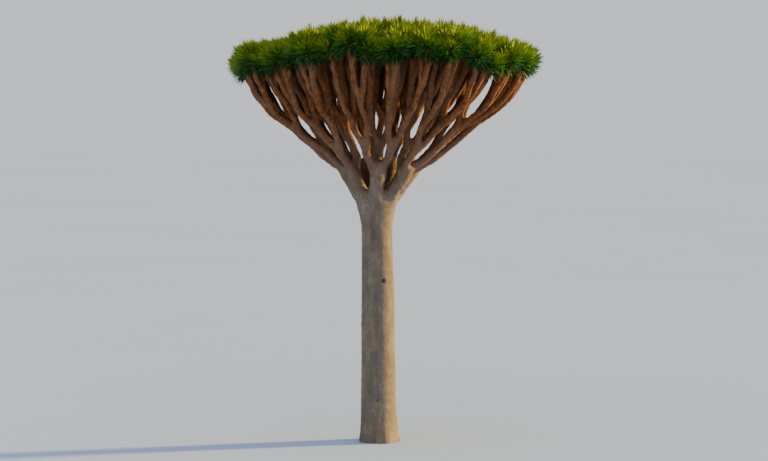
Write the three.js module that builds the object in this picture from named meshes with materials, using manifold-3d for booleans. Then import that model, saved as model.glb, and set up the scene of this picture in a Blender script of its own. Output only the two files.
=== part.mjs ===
// A dragon blood tree: one smooth trunk, a fork of thick boughs that spread as an inverted
// cone, and a low dome of rosettes of sword leaves on top.
// Units are millimetres, +Z is up, the crown's wide side lies along X, and the origin is the
// centre of the flat cut where the trunk meets level ground.
import * as THREE from 'three';
import { mergeVertices } from 'three/addons/utils/BufferGeometryUtils.js';
import Module from 'manifold-3d';

const wasm = await Module();
wasm.setup();

// Whole tree
const forkHeight = 4520; // ground to the level at which the boughs part
const forkOffsetX = -40; // the trunk's slight lean, at the fork
const forkOffsetY = 25;
const trunkBow = 12; // sideways bow at mid height
const clearance = 0.3; // gap between limbs that meet

// Trunk radii
const waistRadius = 286; // narrowest, just under the fork
const footTaper = 45; // added radius low on the trunk, lost by waistHeight
const waistHeight = 3600;
const rootFlare = 55; // added radius at the ground
const rootFlareHeight = 260;
const forkFlare = 100; // added radius where the boughs part
const forkFlareStart = 3900;
const headHeight = 170; // the rounded head above forkHeight
const rootLobes = 5;
const rootLobeDepth = 0.05;
const trunkSides = 18;
const trunkRings = 14;

// Crown: rosettes stand on a low dome, which droops more at its left and right rims
const crownCentreX = 100;
const tipRadiusX = 2700; // rosette centres reach this far from the crown's centre
const tipRadiusY = 2450;
const domeTop = 7230; // height of the middle rosettes' bases
const domeDrop = 320; // how much lower the rim is
const domePower = 3.6;
const saddle = 170; // rim lower than that at the sides, higher at front and back
const shoulderDrop = 70; // how much lower the left shoulder is
const shoulderSite = -0.55; // where it is lowest along X, in crown radii
const shoulderWidth = 0.3;
const spreadPower = 1.65; // above 1, limbs start outwards and end upright
const tipUnevenness = 55;

// Limbs
const ringBoughs = 7; // around one middle bough
const ringBoughSite = 0.8; // share of the crown's radius that a ring bough aims at
const innerMassSite = 0.52;
const outerMassSite = 0.85;
const outerMassTurn = 12.6; // degrees to each side of its bough
const middleMasses = 3;
const middleMassSite = 0.2;
const siteShift = 0.035; // random shift of a mass, in crown radii
const boughFootRing = 235; // ring boughs start this far from the trunk's axis
const boughFootDepth = 110; // and this far below the fork
const boughFootRadius = 142;
const boughTipRadius = 104;
const boughKnob = 30; // added radius where a bough divides
const knobStart = 0.4; // shares of a main bough: where the knob begins, is full and rounds off
const knobFull = 0.8;
const knobRounding = 0.85;
const knobEndArea = 0.4; // of the knob's section, left at its rounded end
const boughSides = 8;
const boughRings = 6;
const branchSides = 6;
const branchRings = 4;
const branchOverlap = 0.03; // share of the way that a branch bough starts inside its knob
const branchFootShift = 50; // a branch bough starts this far off its bough's axis
const branchFootRadius = 84;
const branchTipRadius = 71;
const stemTipRadius = 67; // of the stem inside a foliage mass
const stemSides = 5;
const boughEnd = 0.2; // shares of the way from the fork to the rosettes
const branchEnd = 0.27;
const stemEnd = 0.31;
const divergePower = 1.7; // above 1, limbs part quickly and then run side by side
const limbKink = 16; // sideways waver of a limb

// Foliage: each blade stands for a spray of sword leaves
const rosetteCount = 98;
const rosettesPerTwig = 2; // the last twigs end in the core under this many rosettes
const siteJitter = 0.3; // of the space between rosettes
const rosetteMargin = 0.045; // least way from a rosette to its mass's border, in crown radii
const twigTipRadius = 55;
const twigSides = 3;
const twigRings = 2;
const forkShrink = 0.8; // radius kept by each twig at a fork
const forkPower = 1.5; // above 1, low forks lie further apart than high ones
const twigOverlap = 0.025; // share of the way that a twig starts inside its parent
const twigFootShare = 0.45; // a twig is narrow at its foot, inside its parent
const coreRim = 1; // the border of the rim masses' cores, in crown radii
const coreShare = 0.96; // of the way from a mass's site to its border
const coreRise = 200; // of a core above the rosettes' bases
const coreDepth = 95;
const coreFullness = 0.65; // below 1, a core's edge is blunt
const coreSides = 12;
const coreRings = 4;
const bladesPerRosette = 6;
const bladeRing = 160; // spread blades are rooted this far from their rosette's middle
const bladeLength = 535; // from the root, inside the core
const bladeWidth = 160;
const bladeThickness = 42;
const uprightTilt = 12; // degrees from the rosette's axis, innermost blade
const spreadTilt = 72; // outermost blade
const rimLean = 54; // degrees that a rim rosette leans outwards
const bladeTries = 5; // a blade that would leave its mass is drawn in by steps, or skipped
const bladeRoll = 0.4; // radians that a blade may turn about its own length, either way
const bladeMargin = 15; // clear way between a blade and its mass's border
const shortestBlade = 0.86; // share of bladeLength

const goldenAngle = Math.PI * (3 - Math.sqrt(5));
const siteSeed = 48271;
const massSeed = 69621;
const bladeSeed = 630360016;
const boughSeed = 10007;
const branchSeed = 20011;
const twigSeed = (site) => Math.round(9000 * (2 + site.x + 0.7 * site.y));

const up = new THREE.Vector3(0, 0, 1);
const fork = new THREE.Vector3(forkOffsetX, forkOffsetY, forkHeight);

// Repeatable random numbers from 0 to 1
function randomFrom(seed) {
  let state = seed;
  return () => {
    state = (state * 16807) % 2147483647;
    return state / 2147483647;
  };
}

const mix = (a, b, share) => a + (b - a) * share;

const smoothStep = (low, high, value) => {
  const share = THREE.MathUtils.clamp((value - low) / (high - low), 0, 1);
  return share * share * (3 - 2 * share);
};

// Crown sites are points of a unit disc seen from above, spread over the dome

// Height of the rosettes' bases over a site
function domeHeight(site) {
  const drop = domeDrop * site.length() ** domePower;
  const shoulder = shoulderDrop * Math.exp(-(((site.x - shoulderSite) / shoulderWidth) ** 2));
  return domeTop - drop - shoulder + saddle * (site.y ** 2 - site.x ** 2);
}

// Share of the way outwards that a limb has gone at a share of the way up
const outwards = (share) => 1 - (1 - Math.min(Math.max(share, 0), 1)) ** spreadPower;

// The point that a limb bound for a site passes, at a share of the way up from the fork
function limbPoint(site, share) {
  const out = outwards(share);
  return new THREE.Vector3(
    mix(fork.x, crownCentreX + site.x * tipRadiusX, out),
    mix(fork.y, site.y * tipRadiusY, out),
    mix(fork.z, domeHeight(site), share),
  );
}

// The site that a point in space belongs to, the reverse of limbPoint
function siteOf(point) {
  const share = (point.z - fork.z) / (domeTop - domeDrop / 2 - fork.z);
  const out = Math.max(outwards(share), 0.02);
  return new THREE.Vector2(
    (fork.x + (point.x - fork.x) / out - crownCentreX) / tipRadiusX,
    (fork.y + (point.y - fork.y) / out) / tipRadiusY,
  );
}

// Sites of the rosettes, an even spiral pattern made irregular
function rosetteSites() {
  const random = randomFrom(siteSeed);
  const gap = 1 / Math.sqrt(rosetteCount);
  return Array.from({ length: rosetteCount }, (_, i) => {
    const reach = Math.sqrt((i + 0.5) / rosetteCount);
    const turn = i * goldenAngle;
    const shift = new THREE.Vector2(random() - 0.5, random() - 0.5).multiplyScalar(2 * siteJitter * gap);
    const site = new THREE.Vector2(Math.cos(turn), Math.sin(turn)).multiplyScalar(reach).add(shift);
    site.clampLength(0, 1);
    return { site, rise: (random() - 0.5) * 2 * tipUnevenness };
  });
}

// Main boughs, and for each the sites of the foliage masses that it carries
function boughPlan() {
  const random = randomFrom(massSeed);
  const at = (reach, degrees) => {
    const turn = THREE.MathUtils.degToRad(degrees);
    const shift = new THREE.Vector2(random() - 0.5, random() - 0.5).multiplyScalar(2 * siteShift);
    return new THREE.Vector2(Math.cos(turn), Math.sin(turn)).multiplyScalar(reach).add(shift);
  };
  const boughs = [];
  for (let i = 0; i < ringBoughs; i++) {
    const degrees = ((i + 0.25) * 360) / ringBoughs;
    boughs.push({
      foot: boughFootRing,
      turn: THREE.MathUtils.degToRad(degrees),
      site: at(ringBoughSite, degrees),
      masses: [
        at(outerMassSite, degrees - outerMassTurn),
        at(innerMassSite, degrees),
        at(outerMassSite, degrees + outerMassTurn),
      ],
    });
  }
  const middle = { foot: 0, turn: 0, site: at(0, 0), masses: [] };
  for (let i = 0; i < middleMasses; i++) middle.masses.push(at(middleMassSite, (i * 360) / middleMasses));
  boughs.push(middle);
  return boughs;
}

// Solids

function solidOf(geometry) {
  const bare = new THREE.BufferGeometry();
  bare.setAttribute('position', geometry.getAttribute('position'));
  if (geometry.index) bare.setIndex(geometry.index);
  const merged = mergeVertices(bare, 0.01);
  return new wasm.Manifold(
    new wasm.Mesh({
      numProp: 3,
      vertProperties: merged.getAttribute('position').array,
      triVerts: new Uint32Array(merged.index.array),
    }),
  );
}

// The largest body of a solid, without scraps or sealed hollows
function mainBody(solid) {
  return solid.decompose().reduce((best, body) => (body.volume() > best.volume() ? body : best));
}

function geometryOf(solid) {
  const mesh = solid.getMesh();
  const geometry = new THREE.BufferGeometry();
  geometry.setAttribute('position', new THREE.BufferAttribute(mesh.vertProperties, 3));
  geometry.setIndex(new THREE.BufferAttribute(mesh.triVerts, 1));
  const faceted = geometry.toNonIndexed();
  faceted.computeVertexNormals();
  return faceted;
}

class PathCurve extends THREE.Curve {
  constructor(pointAt) {
    super();
    this.pointAt = pointAt;
  }

  getPoint(share, target = new THREE.Vector3()) {
    return target.copy(this.pointAt(share));
  }
}

// A closed limb round a path; radiusAt gives its radius at a share of the path
function limbGeometry({ pointAt, radiusAt, sides, rings, grow = 0 }) {
  const curve = new PathCurve(pointAt);
  const frames = curve.computeFrenetFrames(rings);
  const geometry = new THREE.CylinderGeometry(1, 1, 1, sides, rings);
  const position = geometry.getAttribute('position');
  const vertex = new THREE.Vector3();
  for (let i = 0; i < position.count; i++) {
    vertex.fromBufferAttribute(position, i);
    const ring = Math.round((vertex.y + 0.5) * rings);
    const share = ring / rings;
    const radius = radiusAt(share) + grow;
    const end = ring === 0 ? -grow : ring === rings ? grow : 0;
    const point = curve
      .getPointAt(share)
      .addScaledVector(frames.binormals[ring], vertex.x * radius)
      .addScaledVector(frames.normals[ring], vertex.z * radius)
      .addScaledVector(frames.tangents[ring], end);
    position.setXYZ(i, point.x, point.y, point.z);
  }
  return geometry;
}

const limbSolid = (limb) => solidOf(limbGeometry(limb));

// A path from one site and share to another; it parts quickly and then runs upright
function limbPath(from, to, seed) {
  const random = randomFrom(seed);
  const phase = random() * 2 * Math.PI;
  const bend = new THREE.Vector2(Math.cos(phase), Math.sin(phase)).multiplyScalar(limbKink);
  return (share) => {
    const part = 1 - (1 - share) ** divergePower;
    const site = from.site.clone().lerp(to.site, part);
    const point = limbPoint(site, mix(from.share, to.share, share));
    const waver = Math.sin(share * 2 * Math.PI) * share * (1 - share) * 4;
    point.x += bend.x * waver;
    point.y += bend.y * waver;
    return point;
  };
}

// Trunk

function trunkRadius(height) {
  const taper = footTaper * Math.max(0, 1 - height / waistHeight);
  const flare = rootFlare * Math.exp(-height / rootFlareHeight);
  const head = forkFlare * smoothStep(forkFlareStart, forkHeight, height);
  const above = THREE.MathUtils.clamp((height - forkHeight) / headHeight, 0, 1);
  return (waistRadius + taper + flare + head) * Math.sqrt(1 - 0.97 * above ** 2);
}

function trunkSolid(grow = 0) {
  const geometry = new THREE.CylinderGeometry(1, 1, 1, trunkSides, trunkRings);
  const position = geometry.getAttribute('position');
  const top = forkHeight + headHeight;
  for (let i = 0; i < position.count; i++) {
    const share = position.getY(i) + 0.5;
    const height = top * mix(share, smoothStep(0, 1, share), 0.6);
    const turn = Math.atan2(position.getZ(i), position.getX(i));
    const lobe = rootLobeDepth * Math.exp(-height / (2 * rootFlareHeight)) * Math.cos(rootLobes * turn);
    const fromAxis = Math.hypot(position.getX(i), position.getZ(i));
    const radius = fromAxis * (trunkRadius(height) * (1 + lobe) + grow);
    const rise = Math.min(height / forkHeight, 1);
    const bow = trunkBow * Math.sin(Math.PI * rise);
    position.setXYZ(
      i,
      forkOffsetX * rise + bow + radius * Math.cos(turn),
      forkOffsetY * rise - radius * Math.sin(turn),
      height + (share === 1 ? grow : 0),
    );
  }
  return solidOf(geometry);
}

// Boughs

// A main bough: it starts inside the trunk's head and ends in a rounded knob
function mainBough(bough, index, grow = 0) {
  const from = { site: bough.site, share: 0 };
  const path = limbPath(from, { site: bough.site, share: boughEnd }, boughSeed * (index + 1));
  const foot = new THREE.Vector3(Math.cos(bough.turn), Math.sin(bough.turn), 0).multiplyScalar(bough.foot);
  foot.z = -boughFootDepth;
  return limbSolid({
    pointAt: (share) => path(share).addScaledVector(foot, 1 - share),
    radiusAt: (share) => {
      const knob = boughKnob * smoothStep(knobStart, knobFull, share);
      const end = Math.max(0, (share - knobRounding) / (1 - knobRounding));
      const rounding = Math.sqrt(mix(1, knobEndArea, end ** 2));
      return (mix(boughFootRadius, boughTipRadius, share) + knob) * rounding;
    },
    sides: boughSides,
    rings: boughRings,
    grow,
  });
}

// A branch bough: from inside its main bough's knob to the stem of its foliage mass
function branchBough(bough, mass, index, grow = 0) {
  const from = { site: bough.site, share: boughEnd - branchOverlap };
  const path = limbPath(from, { site: mass, share: branchEnd }, branchSeed * (index + 1));
  const shift = new THREE.Vector3(mass.x - bough.site.x, mass.y - bough.site.y, 0);
  shift.setLength(branchFootShift);
  return limbSolid({
    pointAt: (share) => path(share).addScaledVector(shift, (1 - share) ** 2),
    radiusAt: (share) => mix(branchFootRadius, branchTipRadius, share),
    sides: branchSides,
    rings: branchRings,
    grow,
  });
}

// Foliage masses

// Splits rosettes in two across the direction in which they spread most
function splitInTwo(rosettes) {
  const centre = middleOf(rosettes);
  let xx = 0;
  let xy = 0;
  let yy = 0;
  for (const { site } of rosettes) {
    xx += (site.x - centre.x) ** 2;
    xy += (site.x - centre.x) * (site.y - centre.y);
    yy += (site.y - centre.y) ** 2;
  }
  const turn = Math.atan2(2 * xy, xx - yy) / 2;
  const along = ({ site }) => site.x * Math.cos(turn) + site.y * Math.sin(turn);
  const sorted = [...rosettes].sort((a, b) => along(a) - along(b));
  const half = Math.ceil(sorted.length / 2);
  return [sorted.slice(0, half), sorted.slice(half)];
}

function middleOf(rosettes) {
  const sum = new THREE.Vector2();
  for (const { site } of rosettes) sum.add(site);
  return sum.divideScalar(rosettes.length);
}

// The twigs over a fork: each ends under its last few rosettes, or forks again
function growTwigs(rosettes, from, radius, solids) {
  for (const group of splitInTwo(rosettes)) {
    const forks = Math.ceil(Math.log2(group.length / rosettesPerTwig));
    const last = group.length <= rosettesPerTwig;
    const left = last ? 0 : (forks / (forks + 1)) ** forkPower;
    const to = { site: middleOf(group), share: 1 - (1 - from.share) * left };
    const tipRadius = Math.max(radius * forkShrink, twigTipRadius);
    const start = { site: from.site, share: from.share - twigOverlap };
    solids.push(
      limbSolid({
        pointAt: limbPath(start, to, twigSeed(to.site)),
        radiusAt: (share) => tipRadius * mix(twigFootShare, 1, Math.min(share * 2, 1)),
        sides: twigSides,
        rings: twigRings,
      }),
    );
    if (!last) growTwigs(group, to, tipRadius, solids);
  }
}

// One blade: a three-sided spike, widest at its root inside the core
function bladeGeometry(root, direction, turn, length) {
  const geometry = new THREE.ConeGeometry(1, 1, 3).translate(0, 0.5, 0);
  geometry.scale(bladeWidth / Math.sqrt(3), length, bladeThickness / 1.5);
  const side = new THREE.Vector3().crossVectors(direction, up).normalize();
  if (side.lengthSq() < 0.5) side.set(1, 0, 0);
  side.applyAxisAngle(direction, turn);
  const face = new THREE.Vector3().crossVectors(side, direction);
  const placed = new THREE.Matrix4().makeBasis(side, direction, face).setPosition(root);
  return geometry.applyMatrix4(placed);
}

// The way from a site to the nearest border of its mass, in crown radii
function roomAt(site, own, masses) {
  let room = 1;
  for (const other of masses) {
    if (other === own) continue;
    const nearer = site.distanceToSquared(other) - site.distanceToSquared(own);
    room = Math.min(room, nearer / (2 * own.distanceTo(other)));
  }
  return room;
}

// How far a mass reaches from its own site in one direction, to its border or the rim
function massReach(mass, masses, way) {
  const along = mass.dot(way);
  let reach = Math.sqrt(along ** 2 + coreRim ** 2 - mass.lengthSq()) - along;
  for (const other of masses) {
    const gap = other.clone().sub(mass);
    const facing = gap.dot(way);
    if (facing > 0) reach = Math.min(reach, gap.lengthSq() / (2 * facing));
  }
  return reach;
}

// The dense heart of a mass: a low cushion on the dome, which the blades stand out of
function massCore(mass, masses) {
  const geometry = new THREE.SphereGeometry(1, coreSides, coreRings);
  const position = geometry.getAttribute('position');
  for (let i = 0; i < position.count; i++) {
    const level = position.getY(i);
    const turn = Math.atan2(-position.getZ(i), position.getX(i));
    const way = new THREE.Vector2(Math.cos(turn), Math.sin(turn));
    const full = Math.hypot(position.getX(i), position.getZ(i)) ** coreFullness;
    const reach = massReach(mass, masses, way) * coreShare * full;
    const base = limbPoint(mass.clone().addScaledVector(way, reach), 1);
    position.setXYZ(i, base.x, base.y, base.z + level * (level > 0 ? coreRise : coreDepth));
  }
  return solidOf(geometry);
}

// Whether a blade stays in its mass from root to point
function bladeFits(root, direction, length, mass, masses) {
  return [0, 0.4, 1].every((share) => {
    const site = siteOf(root.clone().addScaledVector(direction, length * share));
    const halfWidth = (bladeWidth / Math.sqrt(3)) * (1 - share);
    return roomAt(site, mass, masses) * tipRadiusY > bladeMargin + halfWidth;
  });
}

// The blades of one rosette
function growRosette(rosette, mass, masses, random, solids) {
  const tip = limbPoint(rosette.site, 1);
  tip.z += rosette.rise;
  const outward = new THREE.Vector3(rosette.site.x, rosette.site.y, 0);
  const lean = THREE.MathUtils.degToRad(rimLean) * rosette.site.length() ** 2;
  const leanAxis = new THREE.Vector3().crossVectors(up, outward).normalize();
  const axis = up.clone().applyAxisAngle(leanAxis, lean);
  const sideways = new THREE.Vector3(1, 0, 0).cross(axis).normalize();
  const firstTurn = random() * 2 * Math.PI;
  for (let i = 0; i < bladesPerRosette; i++) {
    const share = Math.sqrt((i + 0.5 * random()) / (bladesPerRosette - 0.5));
    const turnAxis = sideways.clone().applyAxisAngle(axis, firstTurn + i * goldenAngle);
    const spread = turnAxis.clone().cross(axis);
    const roll = (random() - 0.5) * 2 * bladeRoll;
    const length = bladeLength * mix(shortestBlade, 1, random());
    for (let attempt = 0; attempt < bladeTries; attempt++) {
      const opened = share * (1 - attempt / bladeTries);
      const tilt = THREE.MathUtils.degToRad(mix(uprightTilt, spreadTilt, opened));
      const direction = axis.clone().applyAxisAngle(turnAxis, tilt);
      const root = tip.clone().addScaledVector(spread, bladeRing * opened);
      if (bladeFits(root, direction, length, mass, masses)) {
        solids.push(solidOf(bladeGeometry(root, direction, roll, length)));
        break;
      }
    }
  }
}

// A foliage mass: a stem that meets its bough, its twigs, its core and its rosettes
function foliageMass(mass, masses, rosettes, random) {
  const stemPath = limbPath({ site: mass, share: branchEnd }, { site: mass, share: stemEnd }, 1);
  const stemLift = stemPath(0.001).sub(stemPath(0)).setLength(clearance);
  const solids = [
    massCore(mass, masses),
    limbSolid({
      pointAt: (share) => stemPath(share).addScaledVector(stemLift, 1 - share),
      radiusAt: (share) => mix(branchTipRadius, stemTipRadius, share),
      sides: stemSides,
      rings: 1,
    }),
  ];
  growTwigs(rosettes, { site: mass, share: stemEnd }, stemTipRadius, solids);
  for (const rosette of rosettes) growRosette(rosette, mass, masses, random, solids);
  return mainBody(wasm.Manifold.union(solids));
}

// The tree

const bark = new THREE.MeshStandardMaterial({ color: 0x81766c, roughness: 0.85, metalness: 0 });
const boughBark = new THREE.MeshStandardMaterial({ color: 0x7d6350, roughness: 0.85, metalness: 0 });
const leaves = new THREE.MeshStandardMaterial({ color: 0x4d6b1f, roughness: 0.55, metalness: 0 });

const tree = new THREE.Group();

function addNode(name, solid, material) {
  const mesh = new THREE.Mesh(geometryOf(solid), material);
  mesh.name = name;
  tree.add(mesh);
}

const numbered = (name, index) => `${name}_${String(index + 1).padStart(2, '0')}`;

const boughs = boughPlan();
const masses = boughs.flatMap((bough) => bough.masses);
const trunkCutter = trunkSolid(clearance);
addNode('trunk', trunkSolid(), bark);

const placedLimbs = [trunkCutter];
boughs.forEach((bough, i) => {
  const cutters = wasm.Manifold.union(placedLimbs);
  addNode(numbered('main_bough', i), mainBody(mainBough(bough, i).subtract(cutters)), boughBark);
  placedLimbs.push(mainBough(bough, i, clearance));
});
boughs.forEach((bough) =>
  bough.masses.forEach((mass) => {
    const index = masses.indexOf(mass);
    const cutters = wasm.Manifold.union(placedLimbs);
    const branch = mainBody(branchBough(bough, mass, index).subtract(cutters));
    addNode(numbered('branch_bough', index), branch, boughBark);
    placedLimbs.push(branchBough(bough, mass, index, clearance));
  }),
);

const nearestMass = (site) => masses.reduce((a, b) => (site.distanceTo(b) < site.distanceTo(a) ? b : a));
const rosettesOf = new Map(masses.map((mass) => [mass, []]));
for (const rosette of rosetteSites()) {
  const mass = nearestMass(rosette.site);
  while (roomAt(rosette.site, mass, masses) < rosetteMargin) rosette.site.lerp(mass, 0.08);
  rosettesOf.get(mass).push(rosette);
}

const random = randomFrom(bladeSeed);
masses.forEach((mass, i) => {
  addNode(numbered('leaf_mass', i), foliageMass(mass, masses, rosettesOf.get(mass), random), leaves);
});

export default tree;
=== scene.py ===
import math
import bmesh
import bpy
import numpy as np
from mathutils import Matrix, Quaternion, Vector, kdtree, noise


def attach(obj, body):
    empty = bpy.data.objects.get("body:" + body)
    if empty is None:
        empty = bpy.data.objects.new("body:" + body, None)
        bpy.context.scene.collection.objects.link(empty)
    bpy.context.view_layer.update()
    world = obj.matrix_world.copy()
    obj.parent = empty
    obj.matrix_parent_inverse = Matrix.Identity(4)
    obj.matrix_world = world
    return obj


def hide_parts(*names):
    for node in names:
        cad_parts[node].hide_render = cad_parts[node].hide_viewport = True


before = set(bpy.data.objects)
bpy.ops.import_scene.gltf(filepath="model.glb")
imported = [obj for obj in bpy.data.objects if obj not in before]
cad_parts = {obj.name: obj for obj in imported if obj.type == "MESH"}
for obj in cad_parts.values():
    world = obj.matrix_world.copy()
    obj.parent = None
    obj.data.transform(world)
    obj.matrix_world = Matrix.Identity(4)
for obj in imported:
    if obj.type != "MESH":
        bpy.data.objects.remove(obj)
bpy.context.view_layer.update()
scene = bpy.context.scene
print("frame loaded:", len(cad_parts), "nodes")

# The rule of growth, in metres. Limbs leave the fork for the sites of a unit disc seen from
# above, and end in rosettes of sword leaves on a low dome.
crown = {
    "fork": Vector((-0.040, 0.025, 4.520)),
    "centreX": 0.100,
    "tipRadius": (2.700, 2.450),  # how far the rosettes reach along X and Y
    "domeTop": 7.230,
    "domeDrop": 0.320,            # how much lower the rim is
    "domePower": 3.6,
    "saddle": 0.170,              # rim lower than that left and right, higher in front and behind
    "shoulder": (0.070, -0.55, 0.30),  # the left shoulder's drop, its place along X and its width
    "spreadPower": 1.65,          # above 1, limbs start outwards and end upright
    "divergePower": 1.7,          # above 1, limbs part quickly and then run side by side
    "kink": 0.016,                # sideways waver of a limb
    "boughEnd": 0.20,             # shares of the way from the fork to the rosettes
    "branchEnd": 0.27,
    "stemEnd": 0.31,
}
# Where the main boughs and the foliage masses stand, in crown radii
plan = {
    "seed": 69621,
    "ringBoughs": 7,              # round one middle bough
    "firstTurn": 0.25,            # of the step between two boughs
    "boughSite": 0.80,
    "innerMass": 0.52,
    "outerMass": 0.85,
    "outerTurn": 12.6,            # degrees to each side of its bough
    "middleMasses": 3,
    "middleMass": 0.20,
    "shift": 0.035,
    "footRing": 0.235,            # in metres, ring boughs start this far from the trunk's axis
    "footDepth": 0.110,           # and this far below the fork
}
goldenAngle = math.pi * (3 - math.sqrt(5))
up = Vector((0, 0, 1))


# An endless row of even random numbers from 0 to 1
def randomFrom(seed):
    multiplier, modulus = 16807, 2147483647
    state = seed
    while True:
        state = state * multiplier % modulus
        yield state / modulus


# A random shift of up to that much each way
def randomShift(draw, reach):
    return Vector((next(draw) - 0.5, next(draw) - 0.5)) * 2 * reach


def onCircle(turn):
    return Vector((math.cos(turn), math.sin(turn)))


def mix(a, b, share):
    return a + (b - a) * share


def smoothStep(low, high, value):
    share = min(max((value - low) / (high - low), 0), 1)
    return share * share * (3 - 2 * share)


# Height of the rosettes' dome over a site
def domeHeight(site):
    shoulderDrop, place, width = crown["shoulder"]
    drop = crown["domeDrop"] * site.length ** crown["domePower"]
    drop += shoulderDrop * math.exp(-((site.x - place) / width) ** 2)
    return crown["domeTop"] - drop + crown["saddle"] * (site.y ** 2 - site.x ** 2)


# How far out a limb has come, at a share of the way up from the fork
def outwards(share):
    return 1 - (1 - min(max(share, 0), 1)) ** crown["spreadPower"]


# Where a limb bound for a site passes, at a share of the way up from the fork
def limbPoint(site, share):
    out = outwards(share)
    fork = crown["fork"]
    return Vector((
        mix(fork.x, crown["centreX"] + site.x * crown["tipRadius"][0], out),
        mix(fork.y, site.y * crown["tipRadius"][1], out),
        mix(fork.z, domeHeight(site), share),
    ))


# A path from one site and share to another; each end is a pair of those
def limbPath(start, end, seed, rise=0):
    phase = next(randomFrom(seed)) * 2 * math.pi
    bend = onCircle(phase).to_3d() * crown["kink"]

    def pointAt(share):
        part = 1 - (1 - min(share, 1)) ** crown["divergePower"]
        point = limbPoint(start[0].lerp(end[0], part), mix(start[1], end[1], share))
        waver = math.sin(share * 2 * math.pi) * share * (1 - share) * 4
        return point + bend * waver + up * (rise * share)

    return pointAt


# Main boughs, and for each the sites of the foliage masses that it carries
def boughPlan():
    draw = randomFrom(plan["seed"])

    def at(reach, degrees):
        return onCircle(math.radians(degrees)) * reach + randomShift(draw, plan["shift"])

    boughs = []
    for i in range(plan["ringBoughs"]):
        degrees = (i + plan["firstTurn"]) * 360 / plan["ringBoughs"]
        site = at(plan["boughSite"], degrees)
        masses = [
            at(plan["outerMass"], degrees - plan["outerTurn"]),
            at(plan["innerMass"], degrees),
            at(plan["outerMass"], degrees + plan["outerTurn"]),
        ]
        foot = onCircle(math.radians(degrees)).to_3d() * plan["footRing"]
        boughs.append({"site": site, "masses": masses, "foot": foot - up * plan["footDepth"]})
    site = at(0, 0)
    masses = [at(plan["middleMass"], i * 360 / plan["middleMasses"]) for i in range(plan["middleMasses"])]
    boughs.append({"site": site, "masses": masses, "foot": -up * plan["footDepth"]})
    return boughs


boughs = boughPlan()
masses = [mass for bough in boughs for mass in bough["masses"]]
boughOf = [i for i, bough in enumerate(boughs) for _ in bough["masses"]]


# Rosettes: an even spiral made irregular, dealt to the nearest mass
rosettes = {
    "count": 480,
    "seed": 48271,
    "jitter": 0.30,               # of the space between rosettes
    "margin": 0.014,              # least way to the mass's border, in crown radii
    "marginStep": 0.08,           # share of the way inwards, taken until that is kept
    "unevenness": 0.020,          # random rise, in metres up or down
    "tuft": 5,                    # at most so many rosettes stand close together
    "tuftPull": 0.46,             # how far they are drawn to their middle
    "tuftLean": 7.0,              # how they lean away from it, for each crown radius
    "tuftDrop": 0.18,             # how much lower they are for it, in metres for a lean of 1
    "tuftUnevenness": 0.085,
    "mound": 0.130,               # how far the middle of a mass stands above its border
    "moundRoom": 0.13,            # in crown radii, from the border to the level middle
    "rimWaves": 0.012,            # how far the rim is drawn in by turns, in crown radii
}


# The way from a site to the nearest border of its mass, in crown radii
def roomAt(site, own):
    room = 1
    for other in masses:
        if other is not own:
            nearer = (site - other).length_squared - (site - own).length_squared
            room = min(room, nearer / (2 * (own - other).length))
    return room


def rosetteSites():
    draw = randomFrom(rosettes["seed"])
    gap = 1 / math.sqrt(rosettes["count"])
    dealt = [[] for _ in masses]
    for i in range(rosettes["count"]):
        reach = math.sqrt((i + 0.5) / rosettes["count"])
        turn = i * goldenAngle
        site = onCircle(turn) * reach + randomShift(draw, rosettes["jitter"]) * gap
        edge = 1 - rosettes["rimWaves"] * (1 + math.sin(3 * turn + 1) * math.cos(2 * turn))
        if site.length > edge:
            site *= edge / site.length
        rise = (next(draw) - 0.5) * 2 * rosettes["unevenness"]
        nearest = min(range(len(masses)), key=lambda k: (masses[k] - site).length)
        while roomAt(site, masses[nearest]) < rosettes["margin"]:
            site = site.lerp(masses[nearest], rosettes["marginStep"])
        mound = smoothStep(0, rosettes["moundRoom"], roomAt(site, masses[nearest]))
        rise += rosettes["mound"] * (mound - 0.5)
        dealt[nearest].append({"site": site, "rise": rise})
    return dealt


dealtRosettes = rosetteSites()


# Twigs: each carries one rosette, or forks again. A twig is a path with its radius.
twigs = {
    "stemRadius": 0.069,
    "tipRadius": 0.040,
    "forkShrink": 0.925,
    "forkPower": 1.5,             # above 1, low forks lie further apart than high ones
    "overlap": 0.014,             # share of the way that a twig starts inside its parent
    "tipLift": 0.080,             # the last twigs end this far above the dome
    "girth": (1.02, 0.97),        # at a twig's start and end, in radii
    "swelling": 0.10,             # added to its end, in radii
    "swellingStart": 0.7,
    "sides": 10,
    "bodyRings": 6,
    "skinStations": 12,           # of the twigs that are grown into the boughs' skin
    "footPole": 0.5,              # how far a tube's closing points stand out, in radii
    "tipPole": 0.3,
    "seedStep": 9000,             # how much a twig's seed grows along X, for each crown radius
    "seedSkew": 0.7,              # and along Y, for each step along X
}


def middleOf(group):
    total = Vector((0, 0))
    for rosette in group:
        total += rosette["site"]
    return total / len(group)


# Splits rosettes in two across the direction in which they spread most
def splitInTwo(group):
    centre = middleOf(group)
    offsets = [rosette["site"] - centre for rosette in group]
    xx = sum(o.x * o.x for o in offsets)
    xy = sum(o.x * o.y for o in offsets)
    yy = sum(o.y * o.y for o in offsets)
    along = onCircle(math.atan2(2 * xy, xx - yy) / 2)
    ordered = sorted(group, key=lambda rosette: rosette["site"].dot(along))
    half = math.ceil(len(ordered) / 2)
    return ordered[:half], ordered[half:]


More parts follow.
